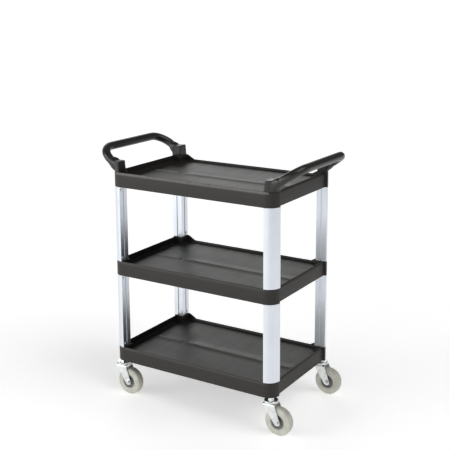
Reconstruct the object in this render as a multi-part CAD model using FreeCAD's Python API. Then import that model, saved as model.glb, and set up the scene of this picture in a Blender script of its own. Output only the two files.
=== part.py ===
import FreeCAD, Part
import math
import os

V = FreeCAD.Vector

# Three-shelf food service trolley on four swivel casters. Millimetres, +Z up, origin on the
# floor under the middle of the trolley, X along the trays, Y across them.

# --- trays ---------------------------------------------------------------------------------
TRAY_LENGTH = 686.0          # over the corner bosses
TRAY_WIDTH = 426.0
TRAY_HEIGHT = 54.0           # skirt, lower edge to rim
TRAY_PITCH = 333.0           # one tray to the next
TRAY_UNDERSIDE = 132.0       # lowest tray above the floor
CORNER_RADIUS = 42.0         # quarter-round corner bosses and uprights
BOSS_MARGIN = 4.0            # boss stands this far past the flat faces of the upright
END_WALL_INSET = 8.0         # end walls sit back from the bosses
TRAY_WALL = 5.0
FLOOR_LEVEL = 28.0           # tray floor above the skirt's lower edge
FLOOR_THICKNESS = 4.0
BACK_RIM = 37.0              # the rear long rim is lower than the other three
BACK_RIM_SLOPE = 30.0        # length of the ramp from corner height to the low rim
RIM_ROUND = 2.0
RIB_THICKNESS = 3.0
RIB_DEPTH = 14.0
LONG_RIBS = 4
CROSS_RIBS = 7
RIDGE_FOOT = 16.0            # low bar with sloping sides along the middle of each floor
RIDGE_CREST = 5.0
RIDGE_HEIGHT = 2.2
RIDGE_END_GAP = 36.0         # ridge stops this far from the end walls
RIDGE_BREAK = 26.0           # break in the ridge
RIDGE_BREAK_X = -172.0

# --- uprights ------------------------------------------------------------------------------
UPRIGHT_WALL = 2.2
GROOVE_WIDTH = 5.0
GROOVE_DEPTH = 2.5
SPIGOT_HEIGHT = 25.0
SPIGOT_CLEARANCE = 0.4
SCREW_SHANK = 4.8
SCREW_CLEARANCE = 0.1
SCREW_LENGTH = 14.0
SCREW_HEAD = 9.0
SCREW_HEAD_HEIGHT = 2.6
SCREW_HEAD_ROUND = 1.0
SCREW_OFFSET = 12.0          # screw line from the end of the upright
SCREW_SIDE = 31.0            # screw line from the inner corner of the upright

# --- handles -------------------------------------------------------------------------------
BAR_DIAMETER = 31.0
BAR_REACH = 67.0             # bar centre beyond the corner bosses
BAR_RISE = 74.5              # bar centre above the rim
ARM_TILT = 34.0              # degrees
BAR_BEND = 56.0              # centre-line radius of the bends
ARM_STUB = 10.0              # round length that the arm's narrowing end runs into
ARM_END_STEP = 0.6           # the arm's last section is this much slimmer than the bar
ROOT_HEIGHT = 39.0           # block over each corner boss
ROOT_ROUND = 3.0
ARM_INSET = 21.0             # arm line in from the long faces
# sections of the flared arm from inside the block outward: distance beyond the middle of the
# block, height above the rim, shift inward, tilt, half height, half width, squareness
ARM_SECTIONS = [
    (-4.0, 19.5, 1.0, 3.0, 18.5, 18.5, 6.0),
    (8.0, 20.5, 3.0, 8.0, 20.5, 19.5, 5.0),
    (19.0, 26.0, 5.0, 20.0, 21.5, 20.5, 3.6),
    (31.0, 36.0, 2.0, ARM_TILT, 17.5, 18.0, 2.5),
]
HANDLE_BOLT = 6.0
HANDLE_BOLT_CLEARANCE = 0.2
HANDLE_BOLT_HEAD = 10.0
HANDLE_BOLT_HEAD_HEIGHT = 4.0
HANDLE_BOLT_GRIP = 22.0      # depth into the handle block

# --- casters -------------------------------------------------------------------------------
STEM_INSET = 23.0            # stem line in from both outer faces of a corner
STEM_DIAMETER = 12.0
STEM_CLEARANCE = 0.2
STEM_LENGTH = 38.0           # inside the corner boss
STEM_CHAMFER = 1.0
COLLAR_FLATS = 19.0
COLLAR_HEIGHT = 10.5
KING_DIAMETER = 10.0
KING_CLEARANCE = 0.05        # running fit in the fork
KING_HEAD = 20.0
KING_HEAD_HEIGHT = 3.5
SWIVEL_GAP = 0.3
RACE_DIAMETER = 50.0
RACE_HEIGHT = 7.5
RACE_ROUND = 3.0
RACE_BORE_CLEARANCE = 0.1
RACE_GAP = 2.0               # open height between race and fork
BALL_DIAMETER = 5.0
BALL_COUNT = 12
BALL_CIRCLE = 32.0
BALL_SEAT_CLEARANCE = 0.1
BALL_RUN_CLEARANCE = 0.3
FORK_PLATE = 3.0
FORK_BEND = 2.4              # outer radius where the plate turns down into the legs
FORK_LEG = 2.5
FORK_GAP = 35.0              # between the legs
FORK_TOP_WIDTH = 46.0
FORK_FOOT_RADIUS = 12.0
TRAIL = 32.0
WHEEL_DIAMETER = 100.0
WHEEL_WIDTH = 31.0
TREAD_ROUND = 8.0
HUB_DIAMETER = 52.0
HUB_RIM = 4.5
HUB_WIDTH = 27.0
HUB_WEB = 9.0
HUB_BOSS = 22.0
HUB_SIDE_GAP = 0.3
HUB_SEAT_CLEARANCE = 0.05
SLEEVE_DIAMETER = 12.0
SLEEVE_FIT = 0.05            # running fit of the hub on its sleeve
AXLE_DIAMETER = 8.0
AXLE_CLEARANCE = 0.1
AXLE_HEX = 13.0
AXLE_HEAD = 5.0
AXLE_TAIL = 1.5

# --- derived positions ---------------------------------------------------------------------
HALF_L = TRAY_LENGTH / 2
HALF_W = TRAY_WIDTH / 2
ARC_X = HALF_L - CORNER_RADIUS
ARC_Y = HALF_W - CORNER_RADIUS
BOSS_X = ARC_X - BOSS_MARGIN
BOSS_Y = ARC_Y - BOSS_MARGIN
STEM_X = HALF_L - STEM_INSET
STEM_Y = HALF_W - STEM_INSET
END_X = HALF_L - END_WALL_INSET
WELL_X = END_X - TRAY_WALL
WELL_Y = HALF_W - TRAY_WALL
RIM_Z = TRAY_UNDERSIDE + 2 * TRAY_PITCH + TRAY_HEIGHT
AXLE_Z = WHEEL_DIAMETER / 2
FORK_TOP_Z = TRAY_UNDERSIDE - COLLAR_HEIGHT - RACE_HEIGHT - RACE_GAP
TRAYS = {"bottom": 0, "middle": 1, "top": 2}
CORNERS = {"front_left": (-1, -1), "front_right": (1, -1), "back_left": (-1, 1), "back_right": (1, 1)}


def box(x0, x1, y0, y1, z0, z1):
    return Part.makeBox(x1 - x0, y1 - y0, z1 - z0, V(x0, y0, z0))


def cylinder(x, y, z0, z1, diameter):
    return Part.makeCylinder(diameter / 2, z1 - z0, V(x, y, z0))


def cylinder_y(x, z, y0, y1, diameter):
    return Part.makeCylinder(diameter / 2, y1 - y0, V(x, y0, z), V(0, 1, 0))


def prism(points, direction):
    return Part.Face(Part.makePolygon([V(*p) for p in points + points[:1]])).extrude(V(*direction))


def hexagon(centre, flats, height, axis):
    """Hexagonal prism standing on `centre`, `axis` is "z" or "y"."""
    radius = flats / math.sqrt(3)
    turns = [math.radians(60 * i) for i in range(6)]
    ring = [(radius * math.cos(turn), radius * math.sin(turn)) for turn in turns]
    x, y, z = centre
    if axis == "z":
        return prism([(x + a, y + b, z) for a, b in ring], (0, 0, height))
    return prism([(x + a, y, z + b) for a, b in ring], (0, height, 0))


def at_corner(shape, sx, sy):
    """Shapes are drawn at the (+X, +Y) corner and mirrored to the others."""
    if sx < 0:
        shape = shape.mirror(V(0, 0, 0), V(1, 0, 0))
    if sy < 0:
        shape = shape.mirror(V(0, 0, 0), V(0, 1, 0))
    return shape


def one(shape):
    """The single solid of a boolean result, with its seams merged."""
    return shape.removeSplitter().Solids[0]


def save(shape, name):
    os.makedirs("parts", exist_ok=True)
    shape.exportStep("parts/" + name + ".step")


# --- corner profiles -----------------------------------------------------------------------
def quarter_round(inset, margin, z0, z1):
    """Quarter-round corner section: `inset` shrinks all faces, `margin` moves the flats inward."""
    x0 = ARC_X + inset - margin
    y0 = ARC_Y + inset - margin
    radius = CORNER_RADIUS - inset
    shape = box(x0, ARC_X + radius, y0, ARC_Y + radius, z0, z1)
    outside = box(ARC_X, HALF_L + 1, ARC_Y, HALF_W + 1, z0, z1)
    outside = outside.cut(cylinder(ARC_X, ARC_Y, z0, z1, 2 * radius))
    return shape.cut(outside)


def groove_boxes(extra, z0, z1):
    """Lengthwise grooves in the two flat faces, widened by `extra` all round."""
    middle = CORNER_RADIUS / 2
    half = GROOVE_WIDTH / 2 + extra
    deep = GROOVE_DEPTH + extra
    in_x = box(ARC_X - 1, ARC_X + deep, ARC_Y + middle - half, ARC_Y + middle + half, z0, z1)
    in_y = box(ARC_X + middle - half, ARC_X + middle + half, ARC_Y - 1, ARC_Y + deep, z0, z1)
    return in_x, in_y


def spigot(z0, z1):
    shape = quarter_round(UPRIGHT_WALL + SPIGOT_CLEARANCE, 0, z0, z1)
    for groove in groove_boxes(UPRIGHT_WALL + SPIGOT_CLEARANCE, z0, z1):
        shape = shape.cut(groove)
    return shape


def upright(z0, z1):
    shape = quarter_round(0, 0, z0, z1)
    hollow = quarter_round(UPRIGHT_WALL, 0, z0 - 1, z1 + 1)
    for groove in groove_boxes(UPRIGHT_WALL, z0 - 1, z1 + 1):
        hollow = hollow.cut(groove)
    shape = shape.cut(hollow)
    for groove in groove_boxes(0, z0 - 1, z1 + 1):
        shape = shape.cut(groove)
    for z in (z0 + SCREW_OFFSET, z1 - SCREW_OFFSET):
        shape = shape.cut(screw_hole(z))
    return one(shape)


def screw_hole(z):
    diameter = SCREW_SHANK + 2 * SCREW_CLEARANCE
    start = V(ARC_X - 1, ARC_Y + SCREW_SIDE, z)
    return Part.makeCylinder(diameter / 2, SCREW_LENGTH + 2, start, V(1, 0, 0))


def upright_screw(z):
    head = V(ARC_X - SCREW_HEAD_HEIGHT, ARC_Y + SCREW_SIDE, z)
    shape = Part.makeCylinder(SCREW_HEAD / 2, SCREW_HEAD_HEIGHT, head, V(1, 0, 0))
    edges = [e for e in shape.Edges if abs(e.CenterOfMass.x - head.x) < 0.01]
    shape = shape.makeFillet(SCREW_HEAD_ROUND, edges)
    shank = Part.makeCylinder(SCREW_SHANK / 2, SCREW_LENGTH, V(ARC_X, head.y, z), V(1, 0, 0))
    return one(shape.fuse(shank))


# --- trays ---------------------------------------------------------------------------------
def mirrored(shape):
    """The shape repeated at all four corners."""
    copies = [at_corner(shape, sx, sy) for sx, sy in CORNERS.values()]
    return copies[0].multiFuse(copies[1:])


def tray_shell(z):
    """Skirt, walls, corner bosses and floor, open above and below the floor."""
    top = z + TRAY_HEIGHT
    bosses = mirrored(quarter_round(0, BOSS_MARGIN, z, top))
    body = box(-ARC_X, ARC_X, -HALF_W, HALF_W, z, top)
    body = body.multiFuse([box(-END_X, END_X, -ARC_Y, ARC_Y, z, top), bosses])
    body = body.removeSplitter()
    body = body.makeFillet(RIM_ROUND, [e for e in body.Edges if e.BoundBox.ZMin > top - 0.01])
    # well above the floor and hollow below it, both inside the walls and clear of the bosses
    corner_blocks = mirrored(box(BOSS_X, HALF_L + 1, BOSS_Y, HALF_W + 1, z - 1, top + 1))
    floor = z + FLOOR_LEVEL
    for z0, z1 in ((floor, top + 1), (z - 1, floor - FLOOR_THICKNESS)):
        body = body.cut(box(-WELL_X, WELL_X, -WELL_Y, WELL_Y, z0, z1).cut(corner_blocks))
    # low rear rim with a ramp up to each corner
    ramp_top = BOSS_X - BOSS_MARGIN
    ramp_foot = ramp_top - BACK_RIM_SLOPE
    notch = [(-ramp_top, WELL_Y - 1, top + 0.01), (ramp_top, WELL_Y - 1, top + 0.01),
             (ramp_foot, WELL_Y - 1, z + BACK_RIM), (-ramp_foot, WELL_Y - 1, z + BACK_RIM)]
    return body.cut(prism(notch, (0, TRAY_WALL + 2, 0)))


def tray_ribs(floor):
    """Lengthwise and crosswise ribs under the floor, run a little way into the walls."""
    top = floor - FLOOR_THICKNESS / 2
    foot = top - RIB_DEPTH
    half = RIB_THICKNESS / 2
    ribs = []
    for i in range(LONG_RIBS):
        y = WELL_Y * (2 * (i + 1) / (LONG_RIBS + 1) - 1)
        ribs.append(box(-WELL_X - 1, WELL_X + 1, y - half, y + half, foot, top))
    for i in range(CROSS_RIBS):
        x = WELL_X * (2 * (i + 1) / (CROSS_RIBS + 1) - 1)
        ribs.append(box(x - half, x + half, -WELL_Y - 1, WELL_Y + 1, foot, top))
    return ribs


def tray_ridge(floor):
    """Low bar with sloping sides along the middle of the floor, in two lengths."""
    reach = WELL_X - RIDGE_END_GAP
    slope = (RIDGE_FOOT - RIDGE_CREST) / 2 / RIDGE_HEIGHT
    sunk = RIDGE_FOOT / 2 + slope
    bars = []
    for x0, x1 in ((-reach, RIDGE_BREAK_X - RIDGE_BREAK / 2), (RIDGE_BREAK_X + RIDGE_BREAK / 2, reach)):
        section = [(x0, -sunk, floor - 1), (x0, sunk, floor - 1),
                   (x0, RIDGE_CREST / 2, floor + RIDGE_HEIGHT), (x0, -RIDGE_CREST / 2, floor + RIDGE_HEIGHT)]
        bars.append(prism(section, (x1 - x0, 0, 0)))
    return bars


def tray(z, spigot_above, spigot_below):
    top = z + TRAY_HEIGHT
    extras = tray_ribs(z + FLOOR_LEVEL) + tray_ridge(z + FLOOR_LEVEL)
    holes = []
    if spigot_above:
        extras.append(mirrored(spigot(top - 1, top + SPIGOT_HEIGHT)))
        holes.append(screw_hole(top + SCREW_OFFSET))
    else:
        bore = HANDLE_BOLT + 2 * HANDLE_BOLT_CLEARANCE
        holes.append(cylinder(STEM_X, STEM_Y, z - SPIGOT_HEIGHT - 1, top + 1, bore))
    if spigot_below:
        extras.append(mirrored(spigot(z - SPIGOT_HEIGHT, z + 1)))
        holes.append(screw_hole(z - SCREW_OFFSET))
    else:
        bore = STEM_DIAMETER + 2 * STEM_CLEARANCE
        holes.append(cylinder(STEM_X, STEM_Y, z - 1, z + STEM_LENGTH + 2, bore))
    body = tray_shell(z).multiFuse(extras)
    for hole in holes:
        body = body.cut(mirrored(hole))
    return one(body)


# --- handles -------------------------------------------------------------------------------
def arm_section(u, y, z, tilt, half_height, half_width, power):
    """Closed superellipse square to the arm, `tilt` degrees above level."""
    c = math.cos(math.radians(tilt))
    s = math.sin(math.radians(tilt))
    points = []
    for i in range(32):
        a = 2 * math.pi * i / 32
        across = half_width * math.copysign(abs(math.cos(a)) ** (2 / power), math.cos(a))
        up = half_height * math.copysign(abs(math.sin(a)) ** (2 / power), math.sin(a))
        points.append(V(u - up * s, y + across, z + up * c))
    curve = Part.BSplineCurve()
    curve.interpolate(points, PeriodicFlag=True)
    return Part.Wire(curve.toShape())


def handle():
    """Loop handle at the +X end: bar, two bends, two flared arms and their root blocks."""
    radius = BAR_DIAMETER / 2
    bar_x = HALF_L + BAR_REACH
    bar_z = RIM_Z + BAR_RISE
    c = math.cos(math.radians(ARM_TILT))
    s = math.sin(math.radians(ARM_TILT))
    arm_y = HALF_W - ARM_INSET
    bar_y = arm_y - BAR_BEND
    bend_x = bar_x - BAR_BEND * c
    bend_z = bar_z - BAR_BEND * s
    bar = Part.makeCylinder(radius, 2 * bar_y, V(bar_x, -bar_y, bar_z), V(0, 1, 0))
    circle = Part.Face(Part.Wire(Part.makeCircle(radius, V(bar_x, bar_y, bar_z), V(0, 1, 0))))
    bend = circle.revolve(V(bend_x, bar_y, bend_z), V(-s, 0, c), 90)
    root_x = ARC_X + CORNER_RADIUS / 2
    sections = []
    for beyond, above, inward, tilt, half_height, half_width, power in ARM_SECTIONS:
        place = (root_x + beyond, arm_y - inward, RIM_Z + above)
        sections.append(arm_section(*place, tilt, half_height, half_width, power))
    tip = radius - ARM_END_STEP
    sections.append(arm_section(bend_x, arm_y, bend_z, ARM_TILT, tip, tip, 2))
    arm = Part.makeLoft(sections, True, False)
    stub_start = V(bend_x - ARM_STUB * c, arm_y, bend_z - ARM_STUB * s)
    stub = Part.makeCylinder(radius, ARM_STUB, stub_start, V(c, 0, s))
    block = quarter_round(0, 0, RIM_Z, RIM_Z + ROOT_HEIGHT)
    top_edges = [e for e in block.Edges if e.BoundBox.ZMin > RIM_Z + ROOT_HEIGHT - 0.01]
    block = block.makeFillet(ROOT_ROUND, top_edges)
    bolt_hole = cylinder(STEM_X, STEM_Y, RIM_Z - 1, RIM_Z + HANDLE_BOLT_GRIP + 2,
                         HANDLE_BOLT + 2 * HANDLE_BOLT_CLEARANCE)
    side = arm.multiFuse([stub, bend, block]).cut(box(0, 999, 0, 999, 0, RIM_Z)).cut(bolt_hole)
    return one(bar.multiFuse([side, at_corner(side, 1, -1)]))


def handle_bolt():
    z = RIM_Z - TRAY_HEIGHT - SPIGOT_HEIGHT
    underside = (STEM_X, STEM_Y, z - HANDLE_BOLT_HEAD_HEIGHT)
    head = hexagon(underside, HANDLE_BOLT_HEAD, HANDLE_BOLT_HEAD_HEIGHT, "z")
    return one(head.fuse(cylinder(STEM_X, STEM_Y, z, RIM_Z + HANDLE_BOLT_GRIP, HANDLE_BOLT)))


# --- casters, drawn about the stem line and trailing toward +X -------------------------------
def stem():
    top = TRAY_UNDERSIDE
    shape = hexagon((0, 0, top - COLLAR_HEIGHT), COLLAR_FLATS, COLLAR_HEIGHT, "z")
    thread = cylinder(0, 0, top, top + STEM_LENGTH, STEM_DIAMETER)
    tip = [e for e in thread.Edges if e.BoundBox.ZMin > top + STEM_LENGTH - 0.01]
    thread = thread.makeChamfer(STEM_CHAMFER, tip)
    head_top = FORK_TOP_Z - FORK_PLATE - SWIVEL_GAP
    king = cylinder(0, 0, head_top, top, KING_DIAMETER)
    head = cylinder(0, 0, head_top - KING_HEAD_HEIGHT, head_top, KING_HEAD)
    return one(shape.multiFuse([thread, king, head]))


def ball_height():
    return FORK_TOP_Z + RACE_GAP / 2


def ball_torus(clearance):
    return Part.makeTorus(BALL_CIRCLE / 2, BALL_DIAMETER / 2 + clearance, V(0, 0, ball_height()))


def race():
    z0 = FORK_TOP_Z + RACE_GAP
    shape = cylinder(0, 0, z0, z0 + RACE_HEIGHT, RACE_DIAMETER)
    rim = [e for e in shape.Edges if e.BoundBox.ZMin > z0 + RACE_HEIGHT - 0.01]
    shape = shape.makeFillet(RACE_ROUND, rim)
    shape = shape.cut(cylinder(0, 0, z0 - 1, z0 + RACE_HEIGHT + 1, KING_DIAMETER + 2 * RACE_BORE_CLEARANCE))
    return one(shape.cut(ball_torus(BALL_RUN_CLEARANCE)))


def balls():
    shapes = []
    for i in range(BALL_COUNT):
        a = 2 * math.pi * i / BALL_COUNT
        centre = V(BALL_CIRCLE / 2 * math.cos(a), BALL_CIRCLE / 2 * math.sin(a), ball_height())
        shapes.append(Part.makeSphere(BALL_DIAMETER / 2, centre))
    return shapes


def fork():
    half = FORK_TOP_WIDTH / 2
    z1 = FORK_TOP_Z
    z0 = z1 - FORK_PLATE
    side = FORK_GAP / 2 + FORK_LEG
    plate = box(-half, half, -side, side, z0, z1)
    bends = [e for e in plate.Edges if e.BoundBox.YLength < 0.01 and e.BoundBox.ZMin > z1 - 0.01]
    plate = plate.makeFillet(FORK_BEND, bends)
    # leg outline: full width at the plate, tangent lines down to the round foot
    foot = cylinder_y(TRAIL, AXLE_Z, 0, FORK_LEG, 2 * FORK_FOOT_RADIUS)
    tangents = []
    for px, sign in ((-half, 1), (half, -1)):
        reach = math.hypot(px - TRAIL, z0 - AXLE_Z)
        angle = math.atan2(z0 - AXLE_Z, px - TRAIL) + sign * math.acos(FORK_FOOT_RADIUS / reach)
        away = V(math.cos(angle), 0, math.sin(angle)) * FORK_FOOT_RADIUS
        tangents.append((TRAIL + away.x, 0, AXLE_Z + away.z))
    points = [(-half, 0, z0 + 0.5), (-half, 0, z0), *tangents, (half, 0, z0), (half, 0, z0 + 0.5)]
    leg = prism(points, (0, FORK_LEG, 0)).fuse(foot)
    right = leg.translated(V(0, FORK_GAP / 2, 0))
    left = leg.translated(V(0, -side, 0))
    shape = plate.multiFuse([left, right])
    shape = shape.cut(cylinder(0, 0, z0 - 1, z1 + 1, KING_DIAMETER + 2 * KING_CLEARANCE))
    shape = shape.cut(cylinder_y(TRAIL, AXLE_Z, -side - 1, side + 1, AXLE_DIAMETER + 2 * AXLE_CLEARANCE))
    return one(shape.cut(ball_torus(BALL_SEAT_CLEARANCE)))


def axle_bolt():
    side = FORK_GAP / 2 + FORK_LEG
    head = hexagon((TRAIL, side, AXLE_Z), AXLE_HEX, AXLE_HEAD, "y")
    return one(head.fuse(cylinder_y(TRAIL, AXLE_Z, -side - AXLE_HEAD - AXLE_TAIL, side, AXLE_DIAMETER)))


def axle_nut():
    side = FORK_GAP / 2 + FORK_LEG
    nut = hexagon((TRAIL, -side - AXLE_HEAD, AXLE_Z), AXLE_HEX, AXLE_HEAD, "y")
    bore = cylinder_y(TRAIL, AXLE_Z, -side - AXLE_HEAD - 1, -side + 1, AXLE_DIAMETER + 2 * AXLE_CLEARANCE)
    return one(nut.cut(bore))


def sleeve():
    half = FORK_GAP / 2
    shape = cylinder_y(TRAIL, AXLE_Z, -half, half, SLEEVE_DIAMETER)
    return one(shape.cut(cylinder_y(TRAIL, AXLE_Z, -half - 1, half + 1, AXLE_DIAMETER + 2 * AXLE_CLEARANCE)))


def hub():
    boss_half = FORK_GAP / 2 - HUB_SIDE_GAP
    shape = cylinder_y(TRAIL, AXLE_Z, -HUB_WIDTH / 2, HUB_WIDTH / 2, HUB_DIAMETER)
    for y0, y1 in ((-HUB_WIDTH, -HUB_WEB / 2), (HUB_WEB / 2, HUB_WIDTH)):
        shape = shape.cut(cylinder_y(TRAIL, AXLE_Z, y0, y1, HUB_DIAMETER - 2 * HUB_RIM))
    shape = shape.fuse(cylinder_y(TRAIL, AXLE_Z, -boss_half, boss_half, HUB_BOSS))
    bore = SLEEVE_DIAMETER + 2 * SLEEVE_FIT
    return one(shape.cut(cylinder_y(TRAIL, AXLE_Z, -FORK_GAP, FORK_GAP, bore)))


def tread():
    half = WHEEL_WIDTH / 2
    shape = cylinder_y(TRAIL, AXLE_Z, -half, half, WHEEL_DIAMETER)
    shape = shape.makeFillet(TREAD_ROUND, [e for e in shape.Edges if e.BoundBox.YLength < 0.01])
    bore = HUB_DIAMETER + 2 * HUB_SEAT_CLEARANCE
    return one(shape.cut(cylinder_y(TRAIL, AXLE_Z, -half - 1, half + 1, bore)))


# --- build ---------------------------------------------------------------------------------
for name, level in TRAYS.items():
    z = TRAY_UNDERSIDE + level * TRAY_PITCH
    save(tray(z, name != "top", name != "bottom"), "tray_" + name)

screws = []
for level, storey in enumerate(("lower", "upper")):
    z0 = TRAY_UNDERSIDE + level * TRAY_PITCH + TRAY_HEIGHT
    z1 = z0 + TRAY_PITCH - TRAY_HEIGHT
    post = upright(z0, z1)
    ends = [upright_screw(z0 + SCREW_OFFSET), upright_screw(z1 - SCREW_OFFSET)]
    for corner, (sx, sy) in CORNERS.items():
        save(at_corner(post, sx, sy), "upright_" + storey + "_" + corner)
        screws += [at_corner(screw, sx, sy) for screw in ends]
save(Part.makeCompound(screws), "upright_screws")

loop = handle()
save(loop, "handle_right")
save(at_corner(loop, -1, 1), "handle_left")
bolt = handle_bolt()
save(Part.makeCompound([at_corner(bolt, sx, sy) for sx, sy in CORNERS.values()]), "handle_bolts")

caster = {
    "caster_stem": stem(),
    "caster_race": race(),
    "caster_balls": Part.makeCompound(balls()),
    "caster_fork": fork(),
    "axle_bolt": axle_bolt(),
    "axle_nut": axle_nut(),
    "axle_sleeve": sleeve(),
    "wheel_hub": hub(),
    "wheel_tread": tread(),
}
for corner, (sx, sy) in CORNERS.items():
    for name, shape in caster.items():
        # bolt heads face outward on both long sides
        placed = shape if sy > 0 else shape.mirror(V(0, 0, 0), V(0, 1, 0))
        save(placed.translated(V(sx * STEM_X, sy * STEM_Y, 0)), name + "_" + corner)
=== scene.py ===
import bmesh
import bpy
import math
from mathutils import Matrix, Vector


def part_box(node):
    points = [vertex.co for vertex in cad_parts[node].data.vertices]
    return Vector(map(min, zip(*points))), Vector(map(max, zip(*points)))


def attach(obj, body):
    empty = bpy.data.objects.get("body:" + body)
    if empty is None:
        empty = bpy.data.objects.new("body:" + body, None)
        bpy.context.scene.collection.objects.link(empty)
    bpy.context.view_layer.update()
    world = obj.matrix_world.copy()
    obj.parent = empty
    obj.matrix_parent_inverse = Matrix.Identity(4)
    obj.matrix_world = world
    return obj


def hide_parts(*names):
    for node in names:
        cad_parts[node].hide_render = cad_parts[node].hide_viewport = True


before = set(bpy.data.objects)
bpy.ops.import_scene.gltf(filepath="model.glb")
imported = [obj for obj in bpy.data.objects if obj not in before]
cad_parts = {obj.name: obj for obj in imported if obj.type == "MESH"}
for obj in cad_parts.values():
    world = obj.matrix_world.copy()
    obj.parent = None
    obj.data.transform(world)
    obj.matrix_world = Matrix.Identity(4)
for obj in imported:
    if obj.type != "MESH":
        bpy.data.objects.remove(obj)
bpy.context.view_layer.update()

# --- moulded trays ---------------------------------------------------------------------------
# Three one-piece injection-moulded trays in dark grey polypropylene with a fine pebbled skin.
# Each has a skirt, a floor with a low bar along its middle, a lower rear rim with a ramp at each
# end, ribs underneath, and a quarter-round boss at each corner that the uprights push on to.
half_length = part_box("tray_top")[1].x
half_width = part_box("tray_top")[1].y
corner_radius = 0.042
arc_x, arc_y = half_length - corner_radius, half_width - corner_radius
boss_x, boss_y = arc_x - 0.004, arc_y - 0.004
end_x = half_length - 0.008
well_x, well_y = end_x - 0.005, half_width - 0.005
floor_level, floor_underside, rib_foot = 0.028, 0.024, 0.012
back_rim = 0.037
ramp_top, ramp_foot = boss_x - 0.004, boss_x - 0.034
rib_half = 0.0015
ridge_crest, ridge_foot, ridge_height = 0.0025, 0.008, 0.0022
shoulder = [(0.010, 0.0), (0.0045, 0.0010), (0.0, 0.0034)]
ridge_spans = [(-0.294, -0.185), (-0.159, 0.294)]
bays_along, bays_across = 8, 5
# painted highlight: a pale grey mixed into the trays' colour along the outer rim and the floor bar's crest,
# and the share of it on each tray's rim; the top tray gets most because it stands for the light that tray
# catches
painted_highlight_grey = (0.26, 0.247, 0.228, 1)
painted_rim_highlights = {"tray_bottom": 0.05, "tray_middle": 0.05, "tray_top": 0.5}
corner_facets = 12
widest_rounding = 0.0065
edge_rounding = {"ribs": 0.0, "bar": 0.1, "floor": 0.6, "floor at the back": 1.0, "rim outside": 0.5,
                 "rim inside": 0.2, "foot": 0.16, "elsewhere": 0.35}
tray_levels = {
    "tray_bottom": (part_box("tray_bottom")[0].z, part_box("upright_lower_front_left")[0].z),
    "tray_middle": (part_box("upright_lower_front_left")[1].z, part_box("upright_upper_front_left")[0].z),
    "tray_top": (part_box("upright_upper_front_left")[1].z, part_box("tray_top")[1].z),
}


class Value:
    """A shader value that sums are written with."""

    def __init__(self, finish, socket):
        self.finish, self.socket = finish, socket

    def __add__(self, other):
        return self.finish.maths("ADD", self, other)

    def __mul__(self, other):
        return self.finish.maths("MULTIPLY", self, other)

    def __abs__(self):
        return self.finish.maths("ABSOLUTE", self, 0)

    __radd__ = __add__
    __rmul__ = __mul__


class Finish:
    """A procedural material: constants go on the shader, the rest comes from node()."""

    def __init__(self, name, constants):
        self.material = bpy.data.materials.new(name)
        self.material.use_nodes = True
        self.tree = self.material.node_tree
        self.shader = self.tree.nodes["Principled BSDF"]
        self.set(constants)
        self.place = self.node("ShaderNodeTexCoord", {}, {}, "Object")

    def set(self, inputs):
        for key, value in inputs.items():
            self.feed(self.shader.inputs[key], value)

    def feed(self, socket, value):
        if isinstance(value, Value):
            self.tree.links.new(value.socket, socket)
        else:
            socket.default_value = value

    def node(self, kind, settings, inputs, output):
        made = self.tree.nodes.new(kind)
        for key, value in settings.items():
            if key == "stops":
                while len(made.color_ramp.elements) < len(value):
                    made.color_ramp.elements.new(0.5)
                for element, (position, colour) in zip(made.color_ramp.elements, value):
                    element.position, element.color = position, (*colour, 1)
            else:
                setattr(made, key, value)
        for key, value in inputs.items():
            self.feed(made.inputs[key], value)
        return Value(self, made.outputs[output])

    def maths(self, operation, a, b):
        return self.node("ShaderNodeMath", {"operation": operation}, {0: a, 1: b}, 0)

    def noise(self, scale, detail=2.0, stretch=(1, 1, 1)):
        where = self.node("ShaderNodeMapping", {}, {"Vector": self.place, "Scale": stretch}, "Vector")
        return self.node("ShaderNodeTexNoise", {}, {"Vector": where, "Scale": scale, "Detail": detail}, "Fac")

    def cells(self, scale):
        inputs = {"Vector": self.place, "Scale": scale}
        return self.node("ShaderNodeTexVoronoi", {"feature": "SMOOTH_F1"}, inputs, "Distance")

    def ramp(self, value, *stops):
        return self.node("ShaderNodeValToRGB", {"stops": stops}, {"Fac": value}, "Color")

    def along(self, axis):
        return self.node("ShaderNodeSeparateXYZ", {}, {"Vector": self.place}, axis)

    def fade(self, value, start, end):
        inputs = {"Value": value, "From Min": start, "From Max": end}
        return self.node("ShaderNodeMapRange", {"interpolation_type": "SMOOTHSTEP"}, inputs, "Result")

    def mixed(self, factor, a, b):
        # sockets 6, 7 and 2 of a colour mix are its A, its B and its result
        inputs = {"Factor": factor, 6: a, 7: b}
        return self.node("ShaderNodeMix", {"data_type": "RGBA"}, inputs, 2)

    def bump(self, height, strength, distance):
        inputs = {"Height": height, "Strength": strength, "Distance": distance}
        return self.node("ShaderNodeBump", {}, inputs, "Normal")


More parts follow.
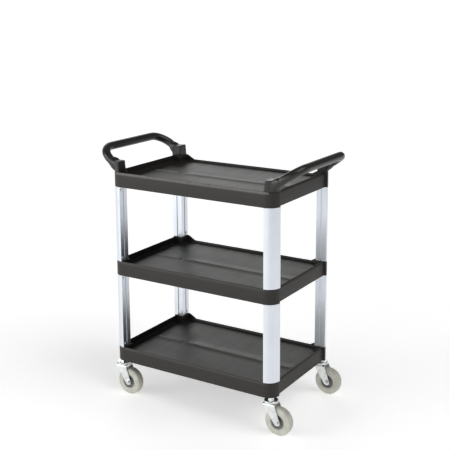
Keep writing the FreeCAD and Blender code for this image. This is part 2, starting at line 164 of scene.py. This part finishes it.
def tray_finish(tray, underside, rim, rim_highlight_share):
    """Satin charcoal plastic: pebbled skin, faint flow marks, and a painted highlight of pale grey along the
    rim and the floor bar.
    """
    plastic = Finish(f"{tray}_plastic", {
        "Specular IOR Level": 0.38,
        "IOR": 1.5,
        "Specular Tint": (1.0, 0.965, 0.93, 1),
    })
    flow = plastic.noise(7, 3, (1, 2.5, 1))
    pebbles = plastic.cells(620)
    grain = plastic.noise(1500, 1)
    # scuff noise sets real roughness changes and also varies the strength of the painted highlight
    scuffs_and_sheen = plastic.noise(60, 5, (1, 0.12, 1))
    shade = plastic.ramp(flow * 0.7 + grain * 0.3,
                         (0.3, (0.0125, 0.0113, 0.0103)), (0.7, (0.0180, 0.0165, 0.0150)))
    x, y, z = plastic.along("X"), plastic.along("Y"), plastic.along("Z")
    off_middle = abs(y)
    # painted highlight: masks for the rolled outer rim and the bar's crest, where pale grey stands for the
    # sheen of the lights on them
    rim_highlight_mask = plastic.fade(z, rim - 0.0115, rim - 0.003) * plastic.fade(off_middle, well_y, well_y + 0.002)
    crest = underside + floor_level + ridge_height
    bar_highlight_mask = plastic.fade(z, crest - ridge_height, crest - 0.0014) * plastic.fade(off_middle, 0.011, 0.007)
    bar_highlight_mask = bar_highlight_mask * plastic.fade(abs(x), well_x - 0.02, well_x - 0.025)
    # painted highlight: the rim and bar masks, varied by scuff noise, give how much pale grey goes into the
    # base colour
    painted_highlight_mask = plastic.maths("MAXIMUM", rim_highlight_mask * rim_highlight_share, bar_highlight_mask * 0.45) * (0.45 + 0.8 * scuffs_and_sheen)
    plastic.set({
        "Base Color": plastic.mixed(painted_highlight_mask, shade, painted_highlight_grey),
        "Roughness": 0.38 + flow * 0.10 + scuffs_and_sheen * 0.10,
        "Normal": plastic.bump(pebbles + grain * 0.3, 0.35, 0.00022),
    })
    return plastic.material


def cut(bm, axis, position):
    """Cuts every face at a plane square to one axis."""
    normal = Vector((0, 0, 0))
    normal[axis] = 1
    bmesh.ops.bisect_plane(bm, geom=bm.verts[:] + bm.edges[:] + bm.faces[:], dist=1e-6,
                           plane_co=normal * position, plane_no=normal)


def push(bm, faces, distance):
    """Extrudes a patch of faces straight up or down and gives the moved faces."""
    edges = list({e for f in faces for e in f.edges})
    made = bmesh.ops.extrude_face_region(bm, geom=faces + edges)["geom"]
    moved = [g for g in made if isinstance(g, bmesh.types.BMVert)]
    bmesh.ops.translate(bm, vec=(0, 0, distance), verts=moved)
    return [g for g in made if isinstance(g, bmesh.types.BMFace)]


def in_well(centre):
    beside_boss = abs(centre.x) > boss_x and abs(centre.y) > boss_y
    return abs(centre.x) < well_x and abs(centre.y) < well_y and not beside_boss


def tray_mesh(underside, rim):
    bm = bmesh.new()
    bmesh.ops.create_grid(bm, x_segments=1, y_segments=1, size=1.0)
    plan = Matrix.Translation((0, 0, rim)) @ Matrix.Diagonal((half_length, half_width, 1, 1))
    bmesh.ops.transform(bm, matrix=plan, verts=bm.verts[:])
    bmesh.ops.bevel(bm, geom=bm.verts[:], offset=corner_radius, offset_type="OFFSET", affect="VERTICES",
                    segments=corner_facets, profile=0.5, material=-1)
    # the plan is cut into walls, bosses, floor, bar and rib cells
    cross_ribs = [well_x * (2 * i / bays_along - 1) for i in range(1, bays_along)]
    long_ribs = [well_y * (2 * i / bays_across - 1) for i in range(1, bays_across)]
    for x in (end_x, well_x, boss_x, ramp_top, ramp_foot):
        cut(bm, 0, x)
        cut(bm, 0, -x)
    for x in cross_ribs:
        cut(bm, 0, x - rib_half)
        cut(bm, 0, x + rib_half)
    for start, end in ridge_spans:
        cut(bm, 0, start)
        cut(bm, 0, end)
    for y in (arc_y, well_y, boss_y, ridge_foot):
        cut(bm, 1, y)
        cut(bm, 1, -y)
    for y in long_ribs:
        cut(bm, 1, y - rib_half)
        cut(bm, 1, y + rib_half)
    centres = {f: f.calc_center_median() for f in bm.faces}
    beyond = [f for f, centre in centres.items() if abs(centre.x) > end_x and abs(centre.y) < arc_y]
    bmesh.ops.delete(bm, geom=beyond, context="FACES")
    # skirt
    made = bmesh.ops.extrude_face_region(bm, geom=bm.faces[:], use_keep_orig=True)["geom"]
    foot = [g for g in made if isinstance(g, bmesh.types.BMVert)]
    bmesh.ops.translate(bm, vec=(0, 0, underside - rim), verts=foot)
    within = [f for f in bm.faces if in_well(f.calc_center_median())]
    lower = [f for f in within if abs(f.calc_center_median().z - underside) < 1e-5]
    upper = [f for f in within if abs(f.calc_center_median().z - rim) < 1e-5]
    # ribs hang from the floor, which is thinner between them
    pockets = []
    for face in push(bm, lower, rib_foot):
        centre = face.calc_center_median()
        off_cross_rib = min(abs(centre.x - x) for x in cross_ribs)
        off_long_rib = min(abs(centre.y - y) for y in long_ribs)
        if min(off_cross_rib, off_long_rib) >= rib_half:
            pockets.append(face)
    push(bm, pockets, floor_underside - rib_foot)
    floor = push(bm, upper, floor_level - (rim - underside))
    bar = [f for f in floor if abs(f.calc_center_median().y) < ridge_foot
           and any(a < f.calc_center_median().x < b for a, b in ridge_spans)]
    for v in {v for f in push(bm, bar, ridge_height) for v in f.verts}:
        v.co.y = math.copysign(ridge_crest, v.co.y)
    for v in bm.verts:
        at_back = v.co.y > well_y - 1e-4 and abs(v.co.x) < ramp_foot + 1e-4
        if at_back and abs(v.co.z - rim) < 1e-5:
            v.co.z = underside + back_rim
    # the walls roll in a little towards the rim
    for depth, lean in shoulder:
        if depth:
            cut(bm, 2, rim - depth)
        for v in bm.verts:
            if abs(v.co.z - (rim - depth)) < 1e-4:
                on_flat = abs(v.co.x) < arc_x + 1e-4
                if on_flat and abs(v.co.y + half_width) < 1e-4:
                    v.co.y += lean
                if abs(abs(v.co.x) - end_x) < 1e-4 and abs(v.co.y) < arc_y + 1e-4:
                    v.co.x -= math.copysign(lean, v.co.x)
    bmesh.ops.remove_doubles(bm, verts=bm.verts[:], dist=1e-5)
    bmesh.ops.recalc_face_normals(bm, faces=bm.faces[:])
    return bm


def roundness(edge, underside):
    """How round the mould leaves an edge, as a share of the widest rounding."""
    middle = (edge.verts[0].co + edge.verts[1].co) / 2
    height = middle.z - underside
    level = abs(edge.verts[0].co.z - edge.verts[1].co.z) < 0.001
    if 0.001 < height < floor_underside + 0.001 and in_well(middle * 0.999):
        return edge_rounding["ribs"]
    if abs(middle.y) < ridge_foot + 0.001 and floor_level - 0.0004 < height < floor_level + 0.003:
        return edge_rounding["bar"] if abs(middle.x) < well_x - 0.001 else edge_rounding["floor"]
    if abs(height - floor_level) < 0.0004:
        return edge_rounding["floor at the back"] if middle.y > well_y - 0.001 else edge_rounding["floor"]
    if height > back_rim - 0.001 and (level or abs(middle.y) > well_y - 0.001):
        outer = abs(middle.y) > well_y + 0.002 or abs(middle.x) > well_x + 0.002
        return edge_rounding["rim outside"] if outer else edge_rounding["rim inside"]
    return edge_rounding["foot"] if height < 0.001 else edge_rounding["elsewhere"]


def weigh_edges(bm, underside):
    """Bevel weights for the sharp edges of a moulding."""
    layer = bm.edges.layers.float.new("bevel_weight_edge")
    for edge in bm.edges:
        if len(edge.link_faces) == 2 and edge.calc_face_angle(0) > math.radians(24):
            edge[layer] = roundness(edge, underside)


def piece(name, bm, body, slot, material, *replaced):
    """Turns a finished bmesh into one object that rides on a body."""
    for face in bm.faces:
        face.smooth = True
    mesh = bpy.data.meshes.new(name)
    bm.to_mesh(mesh)
    bm.free()
    mesh.materials.append(material)
    made = bpy.data.objects.new(name, mesh)
    bpy.context.scene.collection.objects.link(made)
    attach(made, body)
    if replaced:
        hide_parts(*replaced)
    return made


def soften(made, width, segments, by_weight):
    """Rounds the edges of a piece with a bevel that leaves its flats flat."""
    bevel = made.modifiers.new("rounded edges", "BEVEL")
    bevel.width, bevel.segments, bevel.profile = width, segments, 0.5
    bevel.limit_method = "WEIGHT" if by_weight else "ANGLE"
    bevel.angle_limit = math.radians(28)
    bevel.use_clamp_overlap = not by_weight
    bevel.harden_normals = True


for tray, (underside, rim) in tray_levels.items():
    shell = tray_mesh(underside, rim)
    tray_plastic = tray_finish(tray, underside, rim, painted_rim_highlights[tray])
    weigh_edges(shell, underside)
    moulding = piece(tray.replace("tray", "moulded_tray"), shell, "frame", "tray_plastic", tray_plastic, tray)
    soften(moulding, widest_rounding, 4, True)


# --- uprights --------------------------------------------------------------------------------
# Eight lengths of clear-anodised quarter-round aluminium extrusion with a groove down each flat
# face, pushed over the spigots of the trays and held by a pan-head screw at each end.
def upright_finish():
    """Satin anodised metal with faint draw lines along its length."""
    metal = Finish("anodised_aluminium", {"Metallic": 1.0})
    lines = metal.noise(260, 2, (1, 1, 0.01))
    cloud = metal.noise(9, 2)
    metal.set({
        "Base Color": metal.ramp(lines * 0.5 + cloud * 0.5,
                                 (0.3, (0.675, 0.715, 0.77)), (0.7, (0.775, 0.81, 0.855))),
        "Roughness": 0.30 + lines * 0.10 + cloud * 0.06,
        "Normal": metal.bump(lines, 0.12, 0.0001),
    })
    return metal.material


def dress(nodes, material):
    """Gives CAD nodes whose shape stays a finish of their own."""
    for node in nodes:
        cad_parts[node].data.materials.clear()
        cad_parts[node].data.materials.append(material)


corners = ("front_left", "front_right", "back_left", "back_right")
dress([f"upright_{storey}_{corner}" for storey in ("lower", "upper") for corner in corners], upright_finish())


# --- zinc-plated fixings -----------------------------------------------------------------------
# Pan-head screws through the uprights' inner faces, the bolts that hold the handles, and the
# casters' axle bolts and nuts: pressed steel with a bright, slightly cloudy zinc plate.
def zinc_finish(name, roughness):
    zinc = Finish(name, {"Metallic": 1.0})
    cloud = zinc.noise(70, 4)
    fine = zinc.noise(900, 2)
    zinc.set({
        "Base Color": zinc.ramp(cloud, (0.3, (0.60, 0.64, 0.64)), (0.55, (0.72, 0.74, 0.73)),
                                (0.75, (0.78, 0.78, 0.74))),
        "Roughness": roughness + cloud * 0.18,
        "Normal": zinc.bump(cloud * 0.6 + fine * 0.4, 0.15, 0.0002),
    })
    return zinc.material


fixing_zinc = zinc_finish("fixing_zinc", 0.16)
dress(["upright_screws", "handle_bolts"], fixing_zinc)
for part in ("axle_bolt", "axle_nut", "axle_sleeve"):
    dress([f"{part}_{corner}" for corner in corners], fixing_zinc)


# --- loop handles ----------------------------------------------------------------------------
# One glossy black moulding over each short end: a round bar, two bends and two arms that widen
# into blocks standing on the tray's corner bosses, bolted down from inside the uprights.
bar_radius = 0.0155
bar_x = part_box("handle_right")[1].x - bar_radius
bar_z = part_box("handle_right")[1].z - bar_radius
block_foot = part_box("handle_right")[0].z
block_height = 0.039
block_draft, block_sunk = 0.004, 0.001
arm_y = half_width - 0.021
arm_tilt = math.radians(34)
bend_radius = 0.068
arm_lean = 0.003
root_x = arc_x + corner_radius / 2
steps_between_sections, steps_round_bend = 5, 14
skin_voxel, skin_smoothing = 0.0015, 10
# arm sections from inside the block outward: distance beyond the middle of the block, height
# above its foot, shift inward, tilt, half height, half width, squareness of the inner and outer side
arm_sections = [
    (-0.008, 0.0195, 0.001, math.radians(0), 0.0175, 0.0170, 5, 5),
    (0.008, 0.0215, 0.003, math.radians(10), 0.0190, 0.0180, 5, 4),
    (0.018, 0.0280, 0.004, math.radians(26), 0.0190, 0.0185, 4, 2.6),
    (0.030, 0.0370, 0.003, arm_tilt, 0.0160, 0.0170, 3, 2.1),
]


def handle_finish():
    """Glossier black plastic, lightly grained, with a softer sheen where hands rub it."""
    plastic = Finish("handle_plastic", {"Specular IOR Level": 0.5, "IOR": 1.5})
    grain = plastic.cells(900)
    wear = plastic.noise(14, 4)
    plastic.set({
        "Base Color": plastic.ramp(wear, (0.3, (0.0095, 0.0090, 0.0082)), (0.7, (0.0160, 0.0148, 0.0132))),
        "Roughness": 0.24 + wear * 0.16,
        "Normal": plastic.bump(grain, 0.16, 0.00018),
    })
    return plastic.material


def arm_ring(bm, beyond, above, inward, tilt, half_height, half_across, inner_power, outer_power):
    """One rounded-rectangle ring square to the arm, squarer on the side that faces the other arm."""
    verts = bmesh.ops.create_circle(bm, segments=32, radius=1.0)["verts"]
    for v in verts:
        power = inner_power if v.co.x < 0 else outer_power
        v.co.x = half_across * math.copysign(abs(v.co.x) ** (2 / power), v.co.x)
        v.co.y = half_height * math.copysign(abs(v.co.y) ** (2 / power), v.co.y)
    c, s = math.cos(tilt), math.sin(tilt)
    place = Vector((root_x + beyond, arm_y - inward, block_foot + above))
    turn = Matrix(((0, -s, c, place.x), (1, 0, 0, place.y), (0, c, s, place.z), (0, 0, 0, 1)))
    bmesh.ops.transform(bm, matrix=turn, verts=verts)
    return list({e for v in verts for e in v.link_edges})


def between(sections, steps):
    """Smooth in-between sections, a Catmull-Rom curve through each of their values."""
    path = [sections[0]] + sections + [sections[-1]]
    for before, start, end, after in zip(path, path[1:], path[2:], path[3:]):
        for step in range(steps):
            t = step / steps
            yield [b + t / 2 * (c - a + t * (2 * a - 5 * b + 4 * c - d + t * (3 * (b - c) + d - a)))
                   for a, b, c, d in zip(before, start, end, after)]
    yield sections[-1]


def handle_mesh(end):
    bm = bmesh.new()
    c, s = math.cos(arm_tilt), math.sin(arm_tilt)
    bend_x, bend_z = bar_x - bend_radius * c, bar_z - bend_radius * s
    end_section = (bend_x - root_x, bend_z - block_foot, arm_lean, arm_tilt, bar_radius, bar_radius, 2, 2)
    sections = between(arm_sections + [end_section], steps_between_sections)
    rings = [arm_ring(bm, *section) for section in sections]
    for near, far in zip(rings, rings[1:]):
        bmesh.ops.bridge_loops(bm, edges=near + far)
    bmesh.ops.contextual_create(bm, geom=rings[0])
    # bend, then half the bar
    mouth = rings[-1] + list({v for e in rings[-1] for v in e.verts})
    turned = bmesh.ops.spin(bm, geom=mouth, cent=(bend_x, arm_y - arm_lean - bend_radius, bend_z),
                            axis=(-s, 0, c), angle=math.radians(-90), steps=steps_round_bend,
                            use_merge=False)["geom_last"]
    mouth = [g for g in turned if isinstance(g, bmesh.types.BMEdge)]
    made = bmesh.ops.extrude_edge_only(bm, edges=mouth)["geom"]
    for v in [g for g in made if isinstance(g, bmesh.types.BMVert)]:
        v.co.y = 0
    # quarter-round block that fits the tray's corner, its inner end drafted
    block = bmesh.ops.create_cube(bm, size=1.0)["verts"]
    middle = Vector((root_x, arc_y + corner_radius / 2, block_foot + (block_height - block_sunk) / 2))
    size = Matrix.Diagonal((corner_radius, corner_radius, block_height + block_sunk, 1))
    bmesh.ops.transform(bm, verts=block, matrix=Matrix.Translation(middle) @ size)
    upper = [v for v in block if v.co.z > middle.z and v.co.x < root_x]
    bmesh.ops.translate(bm, verts=upper, vec=(block_draft, 0, 0))
    outer = [e for e in {e for v in block for e in v.link_edges}
             if all(v.co.x > root_x and v.co.y > arm_y for v in e.verts)]
    bmesh.ops.bevel(bm, geom=outer, offset=corner_radius - 0.0002, offset_type="OFFSET", affect="EDGES",
                    segments=corner_facets, profile=0.5, material=-1)
    bmesh.ops.mirror(bm, geom=bm.verts[:] + bm.edges[:] + bm.faces[:], matrix=Matrix(), merge_dist=1e-5,
                     axis="Y")
    if end < 0:
        bmesh.ops.scale(bm, vec=(-1, 1, 1), verts=bm.verts[:])
    bmesh.ops.recalc_face_normals(bm, faces=bm.faces[:])
    return bm


handle_plastic = handle_finish()
for side, end in (("left", -1), ("right", 1)):
    loop = piece(f"loop_handle_{side}", handle_mesh(end), "frame", "handle_plastic", handle_plastic,
                 f"handle_{side}")
    skin = loop.modifiers.new("one skin", "REMESH")
    skin.mode, skin.voxel_size, skin.use_smooth_shade = "VOXEL", skin_voxel, True
    blend = loop.modifiers.new("moulded blends", "SMOOTH")
    blend.factor, blend.iterations = 0.5, skin_smoothing


# --- caster forks ----------------------------------------------------------------------------
# Each swivel caster hangs from a threaded stem with a hex collar. A pressed ring of balls lets a
# bright zinc fork of bent sheet steel turn under it, trailing the wheel behind the stem.
caster_zinc = zinc_finish("caster_zinc", 0.20)
for part in ("caster_stem", "caster_race", "caster_balls"):
    dress([f"{part}_{corner}" for corner in corners], caster_zinc)
sheet = 0.0025
foot_radius = 0.012
crown_bend, burr = 0.004, 0.0005


def fork_mesh(corner):
    """Bent sheet: crown, two tapering legs, rounded feet, then the sheet's thickness."""
    low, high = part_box(f"caster_fork_{corner}")
    stem = (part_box(f"caster_stem_{corner}")[0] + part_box(f"caster_stem_{corner}")[1]) / 2
    axle = (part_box(f"axle_bolt_{corner}")[0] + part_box(f"axle_bolt_{corner}")[1]) / 2
    half_crown = stem.x - low.x
    top = high.z - sheet / 2
    side = (high.y - low.y - sheet) / 2
    bm = bmesh.new()
    bmesh.ops.create_grid(bm, x_segments=1, y_segments=1, size=1.0)
    bmesh.ops.transform(bm, verts=bm.verts[:], matrix=Matrix.Translation((stem.x, stem.y, top))
                        @ Matrix.Diagonal((half_crown, side, 1, 1)))
    for edge in [e for e in bm.edges if abs(e.verts[0].co.y - e.verts[1].co.y) < 1e-6]:
        leg = bmesh.ops.extrude_edge_only(bm, edges=[edge])["geom"]
        for v in [g for g in leg if isinstance(g, bmesh.types.BMVert)]:
            front = v.co.x < stem.x
            # the leg's two edges run tangent to the round foot
            reach = Vector((v.co.x - axle.x, top - axle.z))
            turn = math.acos(foot_radius / reach.length) * (1 if front else -1)
            angle = math.atan2(reach.y, reach.x) + turn
            touch = Vector((axle.x + foot_radius * math.cos(angle), axle.z + foot_radius * math.sin(angle)))
            slope = (touch.x - v.co.x) / (touch.y - top)
            v.co.z = axle.z - foot_radius
            v.co.x = touch.x + slope * (v.co.z - touch.y)
    for v in [v for v in bm.verts if v.co.z < top - 0.01]:
        bmesh.ops.bevel(bm, geom=[v], offset=abs(v.co.x - axle.x), offset_type="OFFSET", affect="VERTICES",
                        segments=8, profile=0.5, material=-1)
    bmesh.ops.remove_doubles(bm, verts=bm.verts[:], dist=5e-5)
    bends = [e for e in bm.edges if len(e.link_faces) == 2]
    bmesh.ops.bevel(bm, geom=bends, offset=crown_bend, offset_type="OFFSET", affect="EDGES", segments=4,
                    profile=0.5, material=-1)
    bmesh.ops.recalc_face_normals(bm, faces=bm.faces[:])
    if max(bm.faces, key=lambda f: f.calc_center_median().z).normal.z < 0:
        bmesh.ops.reverse_faces(bm, faces=bm.faces[:])
    return bm


for corner in corners:
    made = piece(f"pressed_fork_{corner}", fork_mesh(corner), f"swivel_{corner}", "caster_zinc", caster_zinc,
                 f"caster_fork_{corner}")
    thick = made.modifiers.new("sheet", "SOLIDIFY")
    thick.thickness, thick.offset, thick.use_even_offset = sheet, 0.0, True
    soften(made, burr, 2, False)


# --- caster wheels ---------------------------------------------------------------------------
# A dark grey dished nylon hub on a steel sleeve, with a pale grey non-marking rubber tyre
# moulded round it.
tyre_shoulder, tyre_lip = 0.008, 0.003
bore, boss_radius = 0.0061, 0.010
web_half, hub_rim_half = 0.0045, 0.0135
wheel_facets = 72


def tyre_finish():
    rubber = Finish("tread_rubber", {"Specular IOR Level": 0.35})
    dust = rubber.noise(45, 5)
    grain = rubber.noise(1300, 2)
    rubber.set({
        "Base Color": rubber.ramp(dust, (0.3, (0.43, 0.43, 0.375)), (0.7, (0.56, 0.555, 0.49))),
        "Roughness": 0.48 + dust * 0.18,
        "Normal": rubber.bump(dust * 0.4 + grain * 0.6, 0.2, 0.0002),
    })
    return rubber.material


def hub_finish():
    nylon = Finish("hub_plastic", {"Specular IOR Level": 0.5})
    mottle = nylon.noise(80, 4)
    nylon.set({
        "Base Color": nylon.ramp(mottle, (0.3, (0.15, 0.155, 0.15)), (0.7, (0.23, 0.235, 0.225))),
        "Roughness": 0.38 + mottle * 0.15,
        "Normal": nylon.bump(nylon.noise(1100, 2), 0.2, 0.0002),
    })
    return nylon.material


def turned(points, centre, rounding):
    """Closed section of (radius, y) points, its corners rounded, spun round the wheel's axle."""
    bm = bmesh.new()
    verts = [bm.verts.new((radius, y, 0)) for radius, y in points]
    bm.faces.new(verts)
    for v, offset in list(zip(verts, rounding)):
        if offset:
            bmesh.ops.bevel(bm, geom=[v], offset=offset, offset_type="OFFSET", affect="VERTICES", segments=4,
                            profile=0.5, material=-1)
    bmesh.ops.delete(bm, geom=bm.faces[:], context="FACES_ONLY")
    bmesh.ops.spin(bm, geom=bm.verts[:] + bm.edges[:], cent=(0, 0, 0), axis=(0, 1, 0), angle=math.tau,
                   steps=wheel_facets, use_merge=True)
    bmesh.ops.remove_doubles(bm, verts=bm.verts[:], dist=1e-6)
    bmesh.ops.translate(bm, vec=centre, verts=bm.verts[:])
    bmesh.ops.recalc_face_normals(bm, faces=bm.faces[:])
    return bm


tread_rubber, hub_plastic = tyre_finish(), hub_finish()
for corner in corners:
    low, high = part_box(f"wheel_tread_{corner}")
    hub_low, hub_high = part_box(f"wheel_hub_{corner}")
    centre = (low + high) / 2
    outer, half = (high.x - low.x) / 2, (high.y - low.y) / 2
    seat, boss = (hub_high.x - hub_low.x) / 2, (hub_high.y - hub_low.y) / 2
    tyre = turned([(seat, -half + 0.001), (seat + tyre_lip, -half), (outer, -half),
                   (outer, half), (seat + tyre_lip, half), (seat, half - 0.001)],
                  centre, (0, 0.001, tyre_shoulder, tyre_shoulder, 0.001, 0))
    piece(f"tyre_{corner}", tyre, f"wheel_{corner}", "tread_rubber", tread_rubber, f"wheel_tread_{corner}")
    near_side = [(bore, -boss), (boss_radius, -boss), (boss_radius + 0.001, -web_half),
                 (seat - 0.0045, -web_half), (seat - 0.004, -hub_rim_half), (seat, -hub_rim_half)]
    far_side = [(radius, -y) for radius, y in reversed(near_side)]
    edges = (0, 0.001, 0.003, 0.003, 0.001, 0.001)
    dish = turned(near_side + far_side, centre, edges + edges[::-1])
    piece(f"dished_hub_{corner}", dish, f"wheel_{corner}", "hub_plastic", hub_plastic, f"wheel_hub_{corner}")


# --- studio ----------------------------------------------------------------------------------
# A plain pale floor that glows a little, a white surround, and four broad soft lights: from the
# front, the front left, the back left and high on the right.
def floor_finish():
    paint = Finish("pale_floor", {"Specular IOR Level": 0.1, "Emission Color": (1, 1, 1, 1),
                                  "Emission Strength": 0.45})
    mottle = paint.noise(3, 2)
    paint.set({
        "Base Color": paint.ramp(mottle, (0.3, (0.88, 0.88, 0.88)), (0.7, (0.90, 0.90, 0.90))),
        "Roughness": 0.8 + mottle * 0.1,
    })
    return paint.material


bm = bmesh.new()
bmesh.ops.create_grid(bm, x_segments=1, y_segments=1, size=14.0)
bmesh.ops.translate(bm, vec=(0, 0, -0.0005), verts=bm.verts[:])
floor_mesh = bpy.data.meshes.new("studio_floor")
bm.to_mesh(floor_mesh)
bm.free()
floor_mesh.materials.append(floor_finish())
studio_floor = bpy.data.objects.new("studio_floor", floor_mesh)
bpy.context.scene.collection.objects.link(studio_floor)

# the surround is seen white but lights the trolley only faintly
surround_glow = 0.16
world = bpy.data.worlds.new("studio")
world.use_nodes = True
backdrop = world.node_tree.nodes["Background"]
backdrop.inputs["Color"].default_value = (1, 1, 1, 1)
seen = world.node_tree.nodes.new("ShaderNodeLightPath")
glow = world.node_tree.nodes.new("ShaderNodeMapRange")
glow.inputs["To Min"].default_value, glow.inputs["To Max"].default_value = surround_glow, 1.0
world.node_tree.links.new(seen.outputs["Is Camera Ray"], glow.inputs["Value"])
world.node_tree.links.new(glow.outputs["Result"], backdrop.inputs["Strength"])
bpy.context.scene.world = world
bpy.context.scene.view_settings.view_transform = "Standard"

# name, strength, degrees round from the front towards the right, degrees up
light_spread = math.radians(46)
for name, strength, turn, height in (("front", 0.75, 0, 12), ("front_left", 1.65, -45, 12),
                                     ("back_left", 0.85, -135, 12), ("right_high", 1.1, 90, 48)):
    lamp = bpy.data.lights.new(name, "SUN")
    lamp.energy, lamp.angle = strength, light_spread
    lamp = bpy.data.objects.new(name, lamp)
    lamp.rotation_euler = (math.radians(90 - height), 0, math.radians(turn))
    bpy.context.scene.collection.objects.link(lamp)

# Camera: a standing adult's view from the front right, a little above the handles.
around, above = math.radians(30.885), math.radians(10.729)
towards = Vector((-math.sin(around) * math.cos(above), math.cos(around) * math.cos(above), -math.sin(above)))
camera = bpy.data.objects.new("camera", bpy.data.cameras.new("camera"))
camera.location = (1.781, -2.756, 1.532)
camera.rotation_mode = "QUATERNION"
camera.rotation_quaternion = towards.to_track_quat("-Z", "Y")
camera.data.sensor_width = 36
camera.data.lens = 73.8
camera.data.shift_x, camera.data.shift_y = -0.0615, -0.155
camera.data.clip_start, camera.data.clip_end = 0.1, 60
bpy.context.scene.collection.objects.link(camera)
bpy.context.scene.camera = camera
